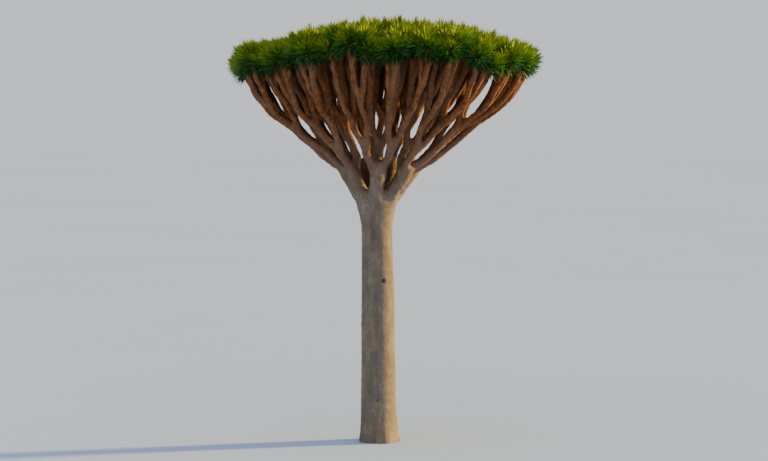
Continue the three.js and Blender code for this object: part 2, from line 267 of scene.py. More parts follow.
# Draws the rosettes of a mass together in tufts, each raised or lowered as one
def gatherTufts(group, draw):
    if len(group) > rosettes["tuft"]:
        for part in splitInTwo(group):
            gatherTufts(part, draw)
        return
    middle = middleOf(group)
    rise = (next(draw) - 0.5) * 2 * rosettes["tuftUnevenness"]
    for rosette in group:
        rosette["lean"] = (rosette["site"] - middle) * rosettes["tuftLean"]
        rosette["rise"] += rise - rosette["lean"].length_squared * rosettes["tuftDrop"]
        rosette["site"] = rosette["site"].lerp(middle, rosettes["tuftPull"])


# A seed of a twig's own, by the site that it ends at; the 2 keeps it above 0
def seedAt(site):
    return round(twigs["seedStep"] * (2 + site.x + twigs["seedSkew"] * site.y))


def growTwigs(group, start, radius, level, grown):
    for part in splitInTwo(group):
        last = len(part) == 1
        forks = math.ceil(math.log2(len(part)))
        site = part[0]["site"] if last else middleOf(part)
        share = 1 - (1 - start[1]) * (forks / (forks + 1)) ** twigs["forkPower"]
        tipRadius = max(radius * twigs["forkShrink"], twigs["tipRadius"])
        rise = part[0]["rise"] + twigs["tipLift"] if last else 0
        path = limbPath((start[0], start[1] - twigs["overlap"]), (site, share), seedAt(site), rise)
        grown.append({"path": path, "radius": tipRadius, "level": level})
        if last:
            part[0]["tip"] = path(1)
        else:
            growTwigs(part, (site, share), tipRadius, level + 1, grown)


allTwigs = []
tuftDraw = randomFrom(rosettes["seed"] + 1)
for mass, group in zip(masses, dealtRosettes):
    gatherTufts(group, tuftDraw)
    growTwigs(group, (mass, crown["stemEnd"]), twigs["stemRadius"], 1, allTwigs)
print("rule grown:", len(allTwigs), "twigs,", sum(len(group) for group in dealtRosettes), "rosettes")


# Materials. Patterns read Object coordinates, or the attributes that the woody meshes carry.

# A colour as a shader takes it, from the one seen on a screen, whose parts go from 0 to 255
def fromScreen(red, green, blue):
    return [((c / 255 + 0.055) / 1.055) ** 2.4 if c > 10 else c / 3295 for c in (red, green, blue)] + [1]


# Sets a socket to a value, or links it to the socket that stands in a value's place
def feed(tree, socket, value):
    if isinstance(value, bpy.types.NodeSocket):
        tree.links.new(value, socket)
    else:
        socket.default_value = value


# A node with its settings, and its sockets fed by name or number
def addNode(tree, kind, sockets, **settings):
    node = tree.nodes.new(kind)
    for name, value in settings.items():
        setattr(node, name, value)
    for name, value in sockets.items():
        feed(tree, node.inputs[name], value)
    return node


def newMaterial(name):
    material = bpy.data.materials.new(name)
    material.use_nodes = True
    tree = material.node_tree
    return material, tree, tree.nodes["Principled BSDF"]


def objectCoordinates(tree):
    return addNode(tree, "ShaderNodeTexCoord", {}).outputs["Object"]


def meshAttribute(tree, name):
    return addNode(tree, "ShaderNodeAttribute", {}, attribute_name=name).outputs["Fac"]


def addNoise(tree, coordinates, scale, stretch=(1, 1, 1), detail=4, roughness=0.55):
    mapping = addNode(tree, "ShaderNodeMapping", {"Vector": coordinates, "Scale": stretch})
    pattern = addNode(tree, "ShaderNodeTexNoise", {
        "Vector": mapping.outputs["Vector"], "Scale": scale, "Detail": detail, "Roughness": roughness})
    return pattern.outputs["Fac"]


def addRamp(tree, value, stops):
    ramp = addNode(tree, "ShaderNodeValToRGB", {"Fac": value})
    elements = ramp.color_ramp.elements
    while len(elements) < len(stops):
        elements.new(0.5)
    for element, (position, colour) in zip(elements, stops):
        element.position = position
        element.color = colour
    return ramp.outputs["Color"]


def addMath(tree, operation, *values):
    return addNode(tree, "ShaderNodeMath", dict(enumerate(values)), operation=operation).outputs["Value"]


def multiply(tree, first, second):
    return addMath(tree, "MULTIPLY", first, second)


def multiplyAdd(tree, first, second, added):
    return addMath(tree, "MULTIPLY_ADD", first, second, added)


# The first colour where the factor is 0, the second where it is 1
def addMix(tree, factor, first, second):
    sockets = {"Factor": factor, 6: first, 7: second}  # 6 and 7 take colours
    return addNode(tree, "ShaderNodeMix", sockets, data_type="RGBA").outputs[2]


def addRange(tree, value, low, high, start=0.0, end=1.0):
    node = addNode(tree, "ShaderNodeMapRange", {
        "Value": value, "From Min": low, "From Max": high, "To Min": start, "To Max": end})
    return node.outputs["Result"]


def addBump(tree, shader, height, strength, depth):
    bump = addNode(tree, "ShaderNodeBump", {"Height": height, "Strength": strength, "Distance": depth})
    tree.links.new(bump.outputs["Normal"], shader.inputs["Normal"])


# Colours as (red, green, blue) on a screen. A noise has its scale, stretch, detail and roughness.
# A range has the values of a pattern between which it acts, and how strongly at each.
barkLook = {
    "trunkDark": fromScreen(88, 79, 72),
    "trunkMiddle": fromScreen(115, 104, 95),
    "trunkPale": fromScreen(138, 127, 115),
    "trunkStops": (0.34, 0.50, 0.66),
    "boughDark": fromScreen(56, 27, 7),
    "boughMiddle": fromScreen(116, 62, 14),
    "boughPale": fromScreen(162, 102, 30),
    "boughStops": (0.34, 0.52, 0.74),
    "ochre": fromScreen(122, 104, 80),
    "scar": fromScreen(52, 44, 38),
    "patches": (1.9, (1, 1, 0.55), 3),
    "mottle": (15, (1, 1, 0.6), 6, 0.65),
    "clouds": (4.5, (1, 1, 0.7), 4, 0.5),
    "streaks": (9, (1, 1, 0.09), 4, 0.6),
    "grain": (75, (1, 1, 1.6), 4, 0.65),
    "plates": (11, (1, 1, 0.38), 0.09, 0.9),      # scale, stretch, width of cracks, waver
    "finePlates": (34, (1, 1, 0.55), 0.10, 0.8),
    "plateBend": 1.6,             # scale of the noise that bends the cracks, to the plates' own
    "plateRange": (0.38, 0.62),
    "finePlateRange": (0.62, 0.40, 0.1, 0.6),
    "crackTone": 0.5,
    "streakShare": 0.35,          # of the trunk's tone; clouds make the rest
    "trunkOchre": (0.50, 0.70, 0, 0.4),
    "boughOchre": (0.42, 0.62, 0, 0.30),
    "ringStep": 0.032,            # in metres, between the leaf scars that ring a limb
    "ringWaver": 0.9,
    "ringRange": (0.55, 1.0),
    "ringTone": (0.42, 0.60, 0.08, 0.38),
    "changeHeights": (4.50, 5.85),  # the trunk's grey turns to the boughs' brown between these
    "changeWaver": 0.9,
    "grainTone": (0.3, 0.7, 0, 0.22),
    "scarWaver": 0.3,
    "scarRange": (0.58, 0.78, 0, 0.85),
    "roughness": (0.3, 0.7, 0.62, 0.92),
    "specular": 0.3,
    "bumpStrength": 0.55,
    "bumpDepth": 0.012,
    "mottleRelief": (0.25, 0.8),  # on the trunk and on the boughs, in bump depths
    "crackRelief": (-0.5, 0),
    "ringRelief": (0, -0.35),
    "streakRelief": 0.3,
    "grainRelief": 0.16,
}


# Dark, middle and pale tones of the trunk or of a bough, along a pattern
def addTones(tree, value, limb):
    colours = [barkLook[limb + tone] for tone in ("Dark", "Middle", "Pale")]
    return addRamp(tree, value, list(zip(barkLook[limb + "Stops"], colours)))


# Cracks between ragged plates: 1 on a crack, 0 within a plate
def addCracks(tree, coordinates, scale, stretch, width, waver):
    sockets = {"Vector": coordinates, "Scale": scale * barkLook["plateBend"]}
    bend = addNode(tree, "ShaderNodeTexNoise", sockets)
    sockets = {0: bend.outputs["Color"], 1: [waver / scale] * 3, 2: coordinates}
    bent = addNode(tree, "ShaderNodeVectorMath", sockets, operation="MULTIPLY_ADD")
    mapping = addNode(tree, "ShaderNodeMapping", {"Vector": bent.outputs["Vector"], "Scale": stretch})
    sockets = {"Vector": mapping.outputs["Vector"], "Scale": scale}
    plates = addNode(tree, "ShaderNodeTexVoronoi", sockets, feature="DISTANCE_TO_EDGE")
    return addRange(tree, plates.outputs["Distance"], 0, width, 1, 0)


# Smooth grey trunk bark that turns to ringed, reddish bark on the boughs
def barkMaterial():
    material, tree, shader = newMaterial("dragonTreeBark")
    look = barkLook
    coordinates = objectCoordinates(tree)
    patches = addNoise(tree, coordinates, *look["patches"])
    mottle = addNoise(tree, coordinates, *look["mottle"])
    clouds = addNoise(tree, coordinates, *look["clouds"])
    streaks = addNoise(tree, coordinates, *look["streaks"])
    grain = addNoise(tree, coordinates, *look["grain"])

    # shallow cracks between upright plates, that come and go over the trunk
    plates = addCracks(tree, coordinates, *look["plates"])
    plates = multiply(tree, plates, addRange(tree, clouds, *look["plateRange"]))
    finePlates = addCracks(tree, coordinates, *look["finePlates"])
    finePlates = multiply(tree, finePlates, addRange(tree, patches, *look["finePlateRange"]))
    cracks = addMath(tree, "MAXIMUM", plates, finePlates)

    tone = multiplyAdd(tree, streaks, look["streakShare"], multiply(tree, clouds, 1 - look["streakShare"]))
    grey = addTones(tree, tone, "trunk")
    grey = addMix(tree, addRange(tree, patches, *look["trunkOchre"]), grey, look["ochre"])
    grey = addMix(tree, multiply(tree, cracks, look["crackTone"]), grey, look["scar"])

    # rings where the boughs have dropped their leaves
    rings = multiply(tree, meshAttribute(tree, "along"), 2 * math.pi / look["ringStep"])
    rings = addMath(tree, "SINE", multiplyAdd(tree, mottle, look["ringWaver"], rings))
    grooves = addRange(tree, rings, *look["ringRange"])
    grooveTone = multiply(tree, grooves, addRange(tree, clouds, *look["ringTone"]))
    brown = addTones(tree, mottle, "bough")
    brown = addMix(tree, addRange(tree, patches, *look["boughOchre"]), brown, look["ochre"])
    brown = addMix(tree, grooveTone, brown, look["boughDark"])

    height = addNode(tree, "ShaderNodeSeparateXYZ", {"Vector": coordinates}).outputs["Z"]
    ragged = multiplyAdd(tree, patches, look["changeWaver"], height)
    low, high = [limit + look["changeWaver"] / 2 for limit in look["changeHeights"]]
    onBoughs = addRange(tree, ragged, low, high)
    colour = addMix(tree, onBoughs, grey, brown)
    colour = addMix(tree, addRange(tree, grain, *look["grainTone"]), colour, look["trunkDark"])
    scars = multiplyAdd(tree, mottle, look["scarWaver"], meshAttribute(tree, "scar"))
    colour = addMix(tree, addRange(tree, scars, *look["scarRange"]), colour, look["scar"])
    feed(tree, shader.inputs["Base Color"], colour)
    feed(tree, shader.inputs["Roughness"], addRange(tree, mottle, *look["roughness"]))
    feed(tree, shader.inputs["Specular IOR Level"], look["specular"])

    bumps = multiply(tree, mottle, addRange(tree, onBoughs, 0, 1, *look["mottleRelief"]))
    bumps = multiplyAdd(tree, streaks, look["streakRelief"], bumps)
    bumps = multiplyAdd(tree, grain, look["grainRelief"], bumps)
    bumps = multiplyAdd(tree, cracks, addRange(tree, onBoughs, 0, 1, *look["crackRelief"]), bumps)
    bumps = multiplyAdd(tree, grooves, addRange(tree, onBoughs, 0, 1, *look["ringRelief"]), bumps)
    addBump(tree, shader, bumps, look["bumpStrength"], look["bumpDepth"])
    return material


# Leaf colours from the freshest to the darkest. The pale end serves young leaves and painted light on
# upright leaves; the dark end serves older leaves and painted shade on level and hanging ones.
leafTints = {
    "leafFresh": fromScreen(137, 152, 20),
    "leafBright": fromScreen(122, 145, 20),
    "leafMiddle": fromScreen(90, 131, 30),
    "leafGreen": fromScreen(56, 109, 38),
    "leafDeep": fromScreen(38, 86, 36),
    "leafShade": fromScreen(24, 60, 28),
}
leafLook = {
    "grain": (60, (1, 1, 0.4), 3),
    "roughness": (0.3, 0.7, 0.46, 0.68),
    "specular": 0.2,
    "bumpStrength": 0.2,
    "bumpDepth": 0.002,
}


# Waxy sword leaves: each tint is a plain colour, and fine ribs give the sheen its grain
def leafMaterial(name, tint):
    material, tree, shader = newMaterial(name)
    grain = addNoise(tree, objectCoordinates(tree), *leafLook["grain"])
    feed(tree, shader.inputs["Base Color"], tint)
    feed(tree, shader.inputs["Roughness"], addRange(tree, grain, *leafLook["roughness"]))
    feed(tree, shader.inputs["Specular IOR Level"], leafLook["specular"])
    addBump(tree, shader, grain, leafLook["bumpStrength"], leafLook["bumpDepth"])
    return material


bark = barkMaterial()
leafMaterials = [leafMaterial(name, tint) for name, tint in leafTints.items()]
print("materials made:", len(bpy.data.materials))


# Trunk and boughs: closed limbs, grown together into one skin and given the bark's relief
trunk = {
    "bow": 0.012,                 # sideways, at mid height
    "waistRadius": 0.286,         # narrowest, just under the fork
    "footTaper": 0.045,           # added low on the trunk, lost by waistHeight
    "waistHeight": 3.600,
    "rootFlare": 0.055,
    "rootFlareHeight": 0.260,
    "forkFlare": 0.100,
    "forkFlareStart": 3.900,
    "headHeight": 0.170,
    "headRoundness": 0.97,        # 1 would round the head off to a point
    "rootLobes": 5,
    "rootLobeDepth": 0.05,        # in radii
    "sides": 36,
    "rings": 48,
    "buried": 0.120,              # skin below the ground, cut away in the end
}
boughShape = {
    "footRadius": 0.142,
    "tipRadius": 0.104,
    "knob": 0.030,                # added to the radius at the bough's end
    "knobRange": (0.4, 0.8),      # shares of the bough over which it swells
    "boughSeed": 10007,
    "stations": 14,
    "branchFootShift": 0.050,
    "branchFootRadius": 0.084,
    "branchTipRadius": 0.071,
    "branchOverlap": 0.03,
    "branchSeed": 20011,
    "branchStations": 24,
    "stemOverlap": (0.02, 0.01),  # of a mass's stem with its branch bough and with its twigs
    "stemSwelling": 1.08,         # of the stem's end, to its twigs' radius
    "stemSeed": 1,
    "stemStations": 8,
    "endAngles": (30, 55, 75),    # at which the rounded end of a limb has its rings
    "sides": 16,
    "fillOut": 1.05,              # makes up for what the smoothing takes
}
skin = {
    "voxel": 0.028,
    "smoothingRounds": 4,
    "smoothingFactor": 0.5,
    "twigLevels": 2,              # twigs up to this level are grown into the skin
    "stationStep": 0.04,          # how closely its vertices are told which limb they lie on
    "levelNormal": 0.99,          # the flat cut is shaded flat: faces as level as this
    "cutHeight": 0.01,            # and lower than this
}
# Depths of the bark's relief in metres, with the scale of each noise
relief = {
    "trunkLumps": 0.012,
    "lumpScale": (1.6, 1.6, 1.1),
    "trunkFolds": 0.003,
    "foldScale": (5, 5, 0.7),
    "foldOffset": 9,
    "trunkWrinkles": 0.0020,
    "wrinkleStep": 0.17,
    "wrinkleWaver": 3,
    "boughLumps": 0.009,
    "boughLumpScale": 5,
    "boughRings": 0.0026,
    "ringStep": 0.125,
    "ringScale": 9,
    "ringWaver": 2,
    "boughHeights": (4.35, 4.95),  # the trunk's skin turns to the boughs' between these
    "seenScar": (2.96, -70, 0.052),  # the photo's: height, degrees round the trunk, size
    "scarSeed": 15200,
    "scars": 8,
    "scarHeights": (0.5, 4.2),
    "scarSizes": (0.034, 0.056),
    "scarDepth": 0.014,           # of a scar of fullSize
    "fullSize": 0.062,
    "scarReach": 2.2,             # in scar sizes, as are the next three
    "lipPlace": 1.25,
    "lipWidth": 0.4,
    "stainReach": 1.6,
    "lipHeight": 0.6,             # to the hollow's depth
    "hollowSteepness": 1.6,
}


def trunkRadius(height):
    t = trunk
    above = min(max((height - crown["fork"].z) / t["headHeight"], 0), 1)
    radius = t["waistRadius"] + t["footTaper"] * max(0, 1 - height / t["waistHeight"])
    radius += t["rootFlare"] * math.exp(-max(height, 0) / t["rootFlareHeight"])
    radius += t["forkFlare"] * smoothStep(t["forkFlareStart"], crown["fork"].z, height)
    return radius * math.sqrt(1 - t["headRoundness"] * above ** 2)


def trunkAxis(height):
    rise = min(max(height / crown["fork"].z, 0), 1)
    bow = trunk["bow"] * math.sin(math.pi * rise)
    return Vector((crown["fork"].x * rise + bow, crown["fork"].y * rise, height))


# A closed limb: a ring of edges drawn out from station to station, with both ends filled
def growLimb(points, radii, sides):
    bm = bmesh.new()
    verts = bmesh.ops.create_circle(bm, segments=sides, radius=1)["verts"]
    edges = firstEdges = bm.edges[:]
    placed = Matrix.Identity(4)
    turn = Quaternion()
    for i, (point, radius) in enumerate(zip(points, radii)):
        tangent = (points[min(i + 1, len(points) - 1)] - points[max(i - 1, 0)]).normalized()
        turn = (turn @ up).rotation_difference(tangent) @ turn
        place = Matrix.LocRotScale(point, turn, Vector((radius, radius, radius)))
        if i:
            grown = bmesh.ops.extrude_edge_only(bm, edges=edges)["geom"]
            verts = [g for g in grown if isinstance(g, bmesh.types.BMVert)]
            edges = [g for g in grown if isinstance(g, bmesh.types.BMEdge)
                     and g.verts[0] in verts and g.verts[1] in verts]
        bmesh.ops.transform(bm, matrix=place @ placed.inverted(), verts=verts)
        placed = place
    bmesh.ops.edgeloop_fill(bm, edges=firstEdges)
    bmesh.ops.edgeloop_fill(bm, edges=edges)
    bmesh.ops.recalc_face_normals(bm, faces=bm.faces)
    mesh = bpy.data.meshes.new("limb")
    bm.to_mesh(mesh)
    bm.free()
    return mesh


# Stations along a limb, with a rounded end: points and radii
def stationsOf(path, radiusAt, count):
    points = [path(i / (count - 1)) for i in range(count)]
    radii = [radiusAt(i / (count - 1)) for i in range(count)]
    tangent = (points[-1] - points[-2]).normalized()
    end, radius = points[-1], radii[-1]
    for angle in boughShape["endAngles"]:
        points.append(end + tangent * radius * math.sin(math.radians(angle)))
        radii.append(radius * math.cos(math.radians(angle)))
    return points, radii


def mainBoughStations(bough, index):
    b = boughShape
    site = bough["site"]
    path = limbPath((site, 0), (site, crown["boughEnd"]), b["boughSeed"] * (index + 1))

    def radiusAt(share):
        return mix(b["footRadius"], b["tipRadius"], share) + b["knob"] * smoothStep(*b["knobRange"], share)

    return stationsOf(lambda share: path(share) + bough["foot"] * (1 - share), radiusAt, b["stations"])


def branchStations(bough, mass, index):
    b = boughShape
    start = (bough["site"], crown["boughEnd"] - b["branchOverlap"])
    path = limbPath(start, (mass, crown["branchEnd"]), b["branchSeed"] * (index + 1))
    shift = (mass - bough["site"]).to_3d().normalized() * b["branchFootShift"]
    return stationsOf(lambda share: path(share) + shift * (1 - share) ** 2,
                      lambda share: mix(b["branchFootRadius"], b["branchTipRadius"], share),
                      b["branchStations"])


def stemStations(mass):
    b = boughShape
    start, end = crown["branchEnd"] - b["stemOverlap"][0], crown["stemEnd"] + b["stemOverlap"][1]
    path = limbPath((mass, start), (mass, end), b["stemSeed"])
    endRadius = twigs["stemRadius"] * b["stemSwelling"]
    return stationsOf(path, lambda share: mix(b["branchTipRadius"], endRadius, share), b["stemStations"])


def twigRadius(twig):
    def radiusAt(share):
        swelling = twigs["swelling"] * smoothStep(twigs["swellingStart"], 1, share)
        return twig["radius"] * (mix(*twigs["girth"], share) + swelling)

    return radiusAt


# Points, radii and sides of all the limbs that are grown together, with the trunk first
def limbsOfSkin():
    top = crown["fork"].z + trunk["headHeight"]
    heights = [mix(-trunk["buried"], top, i / (trunk["rings"] - 1)) for i in range(trunk["rings"])]
    limbs = [([trunkAxis(h) for h in heights], [trunkRadius(h) for h in heights], trunk["sides"])]
    sides = boughShape["sides"]
    index = 0
    for i, bough in enumerate(boughs):
        limbs.append((*mainBoughStations(bough, i), sides))
        for mass in bough["masses"]:
            limbs.append((*branchStations(bough, mass, index), sides))
            limbs.append((*stemStations(mass), sides))
            index += 1
    for twig in allTwigs:
        if twig["level"] <= skin["twigLevels"]:
            limbs.append((*stationsOf(twig["path"], twigRadius(twig), twigs["skinStations"]), sides))
    return limbs


# A mesh object at the origin, taken from a bmesh
def objectFrom(bm, name):
    mesh = bpy.data.meshes.new(name)
    bm.to_mesh(mesh)
    bm.free()
    piece = bpy.data.objects.new(name, mesh)
    scene.collection.objects.link(piece)
    return piece


# Grows all the limbs together into one closed skin
def grownSkin(limbs):
    bm = bmesh.new()
    for i, (points, radii, sides) in enumerate(limbs):
        fill = 1 if i == 0 else boughShape["fillOut"]
        mesh = growLimb(points, [radius * fill for radius in radii], sides)
        bm.from_mesh(mesh)
        bpy.data.meshes.remove(mesh)
    rough = objectFrom(bm, "roughWood")
    remesh = rough.modifiers.new("together", "REMESH")
    remesh.mode = "VOXEL"
    remesh.voxel_size = skin["voxel"]
    bpy.context.view_layer.update()
    evaluated = rough.evaluated_get(bpy.context.evaluated_depsgraph_get())
    bm = bmesh.new()
    bm.from_mesh(evaluated.to_mesh())
    bpy.data.objects.remove(rough)
    for _ in range(skin["smoothingRounds"]):
        bmesh.ops.smooth_vert(bm, verts=bm.verts, factor=skin["smoothingFactor"],
                              use_axis_x=True, use_axis_y=True, use_axis_z=True)
    return bm


# For each vertex, from the nearest limb station: the way along its limb, and which limb it is
def alongLimbs(limbs, bm):
    stations = []
    for number, (points, _, _) in enumerate(limbs):
        way = 0
        for a, b in zip(points, points[1:]):
            length, tangent = (b - a).length, (b - a).normalized()
            steps = max(1, round(length / skin["stationStep"]))
            for k in range(steps):
                stations.append((a.lerp(b, k / steps), way + length * k / steps, tangent, number))
            way += length
    tree = kdtree.KDTree(len(stations))
    for i, station in enumerate(stations):
        tree.insert(station[0], i)
    tree.balance()
    along, limb = [], []
    for vert in bm.verts:
        point, way, tangent, number = stations[tree.find(vert.co)[1]]
        along.append(way + (vert.co - point).dot(tangent))
        limb.append(number)
    return along, limb


# Scars of old boughs on the trunk: places on its skin, with sizes
def trunkScars():
    draw = randomFrom(relief["scarSeed"])
    placed = [relief["seenScar"]]
    for _ in range(relief["scars"]):
        height = mix(*relief["scarHeights"], next(draw))
        degrees = 360 * next(draw)
        placed.append((height, degrees, mix(*relief["scarSizes"], next(draw) ** 2)))
    scars = []
    for height, degrees, size in placed:
        out = onCircle(math.radians(degrees)).to_3d()
        scars.append((trunkAxis(height) + out * trunkRadius(height), size))
    return scars


# Height of the scars' lips and hollows at a point of the trunk, and their stain, 1 at the middle
def scarAt(point, scars):
    r = relief
    move, stain = 0, 0
    for place, size in scars:
        away = (point - place).length / size
        if away < r["scarReach"]:
            lip = r["lipHeight"] * math.exp(-((away - r["lipPlace"]) / r["lipWidth"]) ** 2)
            hollow = math.exp(-away ** 2 * r["hollowSteepness"])
            move += r["scarDepth"] * (size / r["fullSize"]) * (lip - hollow)
            stain = max(stain, 1 - away / r["stainReach"])
    return move, stain


# The low ribs in which the trunk runs out to its roots
def rootLobeAt(point):
    lobe = trunk["rootLobeDepth"] * math.exp(-max(point.z, 0) / (2 * trunk["rootFlareHeight"]))
    turn = math.atan2(point.y, point.x)
    return lobe * math.cos(trunk["rootLobes"] * turn) * trunkRadius(max(point.z, 0))


def stretchedNoise(point, scale, offset=0):
    return noise.noise(Vector((point.x * scale[0], point.y * scale[1], point.z * scale[2] + offset)))


# Height of the bark at a point, without scars; way is the point's way along its limb
def barkAt(point, way, onTrunk):
    r = relief
    lumps = stretchedNoise(point, r["lumpScale"])
    folds = stretchedNoise(point, r["foldScale"], r["foldOffset"])
    wrinkle = math.sin(2 * math.pi * way / r["wrinkleStep"] + r["wrinkleWaver"] * folds)
    trunkBark = r["trunkLumps"] * lumps + r["trunkFolds"] * folds + r["trunkWrinkles"] * wrinkle
    ring = math.sin(2 * math.pi * way / r["ringStep"] + r["ringWaver"] * noise.noise(point * r["ringScale"]))
    boughBark = r["boughLumps"] * noise.noise(point * r["boughLumpScale"]) + r["boughRings"] * ring
    return mix(trunkBark, boughBark, smoothStep(*r["boughHeights"], point.z) if onTrunk else 1)


# Moves each vertex along its normal by the bark's relief; returns the scars' stain on each
def carveBark(bm, along, limb):
    scars = trunkScars()
    bm.normal_update()
    moves, stains = [], []
    for vert, way, number in zip(bm.verts, along, limb):
        onTrunk = number == 0
        move, stain = barkAt(vert.co, way, onTrunk), 0
        if onTrunk:
            scarMove, stain = scarAt(vert.co, scars)
            move += scarMove
            move += rootLobeAt(vert.co)
        moves.append(vert.normal * move)
        stains.append(stain)
    for vert, move in zip(bm.verts, moves):
        vert.co += move
    return stains


def buildWood():
    limbs = limbsOfSkin()
    bm = grownSkin(limbs)
    print("skin grown:", len(bm.verts), "vertices")
    along, limb = alongLimbs(limbs, bm)
    stains = carveBark(bm, along, limb)
    alongLayer = bm.verts.layers.float.new("along")
    scarLayer = bm.verts.layers.float.new("scar")
    for vert, way, stain in zip(bm.verts, along, stains):
        vert[alongLayer] = way
        vert[scarLayer] = stain
    everything = bm.verts[:] + bm.edges[:] + bm.faces[:]
    cut = bmesh.ops.bisect_plane(bm, geom=everything, plane_co=(0, 0, 0), plane_no=(0, 0, -1),
                                 clear_outer=True)
    rim = [g for g in cut["geom_cut"] if isinstance(g, bmesh.types.BMEdge)]
    bmesh.ops.edgeloop_fill(bm, edges=rim)
    bmesh.ops.triangulate(bm, faces=[face for face in bm.faces if len(face.verts) > 4])
    for face in bm.faces:
        above = face.calc_center_median().z > skin["cutHeight"]
        face.smooth = above or abs(face.normal.z) < skin["levelNormal"]
    piece = objectFrom(bm, "trunk_and_boughs")
    piece.data.materials.append(bark)
    return piece


wood = buildWood()
woodNodes = ["trunk"] + [f"main_bough_{i + 1:02d}" for i in range(len(boughs))]
woodNodes += [f"branch_bough_{i + 1:02d}" for i in range(len(masses))]
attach(wood, "root")
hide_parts(*woodNodes)
print("trunk and boughs:", len(wood.data.polygons), "faces")


# Joins arrays of vertices and faces into one mesh object
def objectFromArrays(name, verts, faces, along=None, slots=None, smooth=False):
    sizes = np.array([len(group[0]) for group in faces for _ in range(len(group))])
    corners = np.concatenate([np.asarray(group).ravel() for group in faces])
    starts = np.concatenate([[0], np.cumsum(sizes)[:-1]])
    mesh = bpy.data.meshes.new(name)
    mesh.vertices.add(len(verts))
    mesh.vertices.foreach_set("co", np.asarray(verts, dtype=np.float32).ravel())
    mesh.loops.add(len(corners))
    mesh.loops.foreach_set("vertex_index", corners.astype(np.int32))
    mesh.polygons.add(len(sizes))
    mesh.polygons.foreach_set("loop_start", starts.astype(np.int32))
    if slots is not None:
        mesh.polygons.foreach_set("material_index", slots.astype(np.int32))
    mesh.update(calc_edges=True)
    mesh.polygons.foreach_set("use_smooth", np.full(len(sizes), smooth))
    if along is not None:
        layer = mesh.attributes.new("along", "FLOAT", "POINT")
        layer.data.foreach_set("value", np.asarray(along, dtype=np.float32))
    piece = bpy.data.objects.new(name, mesh)
    scene.collection.objects.link(piece)
    return piece


# Two directions square to each axis and to each other
def squareTo(axes):
    side = np.cross(axes, (0, 1, 0))
    side /= np.linalg.norm(side, axis=1, keepdims=True)
    return side, np.cross(axes, side)


# A twig as a round tube: vertices, the way along it of each, and how many rings it has
def twigTube(twig):
    count, sides = twigs["bodyRings"], twigs["sides"]
    points, radii = stationsOf(twig["path"], twigRadius(twig), count)
    points = np.array(points)
    radii = np.array(radii)
    tangents = np.gradient(points, axis=0)
    tangents /= np.linalg.norm(tangents, axis=1, keepdims=True)
    tangents[count:] = tangents[count - 1]
    side, front = squareTo(tangents)
    turns = np.arange(sides) * 2 * np.pi / sides
    ring = side[:, None] * np.cos(turns)[None, :, None] + front[:, None] * np.sin(turns)[None, :, None]
    verts = points[:, None] + ring * radii[:, None, None]
    way = np.concatenate([[0], np.cumsum(np.linalg.norm(np.diff(points, axis=0), axis=1))])
    foot = points[0] - tangents[0] * radii[0] * twigs["footPole"]
    tip = points[-1] + tangents[-1] * radii[-1] * twigs["tipPole"]
    verts = np.concatenate([verts.reshape(-1, 3), [foot, tip]])
    along = np.concatenate([np.repeat(way, sides), [0, way[-1]]])
    return verts, along, len(points)


# The finer twigs, joined from arrays
def buildTwigs():
    sides = twigs["sides"]
    allVerts, allAlong, quads, triangles = [], [], [], []
    base = 0
    k = np.arange(sides)
    following = (k + 1) % sides
    for twig in allTwigs:
        if twig["level"] <= skin["twigLevels"]:
            continue
        verts, along, rings = twigTube(twig)
        for ring in range(rings - 1):
            low, high = base + ring * sides, base + (ring + 1) * sides
            quads.append(np.stack([low + k, low + following, high + following, high + k], axis=1))
        last = base + (rings - 1) * sides
        footPole, tipPole = last + sides, last + sides + 1
        triangles.append(np.stack([base + following, base + k, np.full(sides, footPole)], axis=1))
        triangles.append(np.stack([last + k, last + following, np.full(sides, tipPole)], axis=1))
        allVerts.append(verts)
        allAlong.append(along)
        base += len(verts)
    faces = [np.concatenate(quads), np.concatenate(triangles)]
    piece = objectFromArrays("twigs", np.concatenate(allVerts), faces,
                             along=np.concatenate(allAlong), smooth=True)
    piece.data.materials.append(bark)
    return piece


massNodes = [f"leaf_mass_{i + 1:02d}" for i in range(len(masses))]
twigPiece = buildTwigs()
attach(twigPiece, "root")
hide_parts(*massNodes)
print("twigs:", len(twigPiece.data.polygons), "faces")


# Leaves: keeled swords of three sides, in rosettes, a golden angle apart
leaves = {
    "perRosette": 128,
    "length": 0.320,
    "width": 0.034,
    "keel": 0.007,                # depth of the keel under a leaf
    "sections": ((0.0, 0.7), (0.45, 1.0)),  # share of the length, and of the full width there
    "innerTilt": 5,               # degrees from the rosette's axis
    "outerTilt": 103,
    "tiltPower": 0.85,            # below 1, leaves lie down sooner
    "rimLean": 46,                # degrees that a rim rosette leans outwards
    "rootRise": 0.080,            # of the innermost leaves' roots above the twig's tip
    "rootOut": 0.025,             # of the outermost leaves' roots from the twig's axis
    "clasp": 0.150,               # length of twig that the leaves' roots cover
    "shortening": 0.16,           # of the outermost leaves
    "droop": 0.10,                # of a level leaf's point, in leaf lengths
    "seed": 7321,
    "orderSpread": 0.03,          # random parts: a leaf's place from the middle to the outside
    "turnSpread": 0.4,            # radians round the axis, from the golden angle's place
    "tiltSpread": 0.14,
    "rollSpread": 0.30,
    "rosetteSizes": (0.90, 1.08),
    "leafSizes": (0.80, 1.0),
    "droops": (0.3, 1.4),
    "sectors": ((0, 1), (2, 3), (4, 5), (6, 7)),  # main boughs whose leaves are joined
}
# Which of the leaf tints a leaf takes, counted from the freshest: darker for an older leaf on the outside,
# darker as painted shade for a leaf that lies level or hangs, and at random
tinting = {
    "first": 0.4,                 # an upright leaf in the middle of its rosette
    "byPlace": 1.1,               # more for a leaf on the outside
    "paintedShadeByLean": 2.0,                # painted shade: more for a level leaf, and twice that for a hanging one
    "rosetteSpread": 0.35,
    "leafSpread": 0.4,
}


def rosetteAxis(rosette):
    site = rosette["site"]
    lean = math.radians(leaves["rimLean"]) * site.length ** 2
    outward = Vector((site.x, site.y, 0)).normalized()
    return (up * math.cos(lean) + outward * math.sin(lean) + rosette["lean"].to_3d()).normalized()


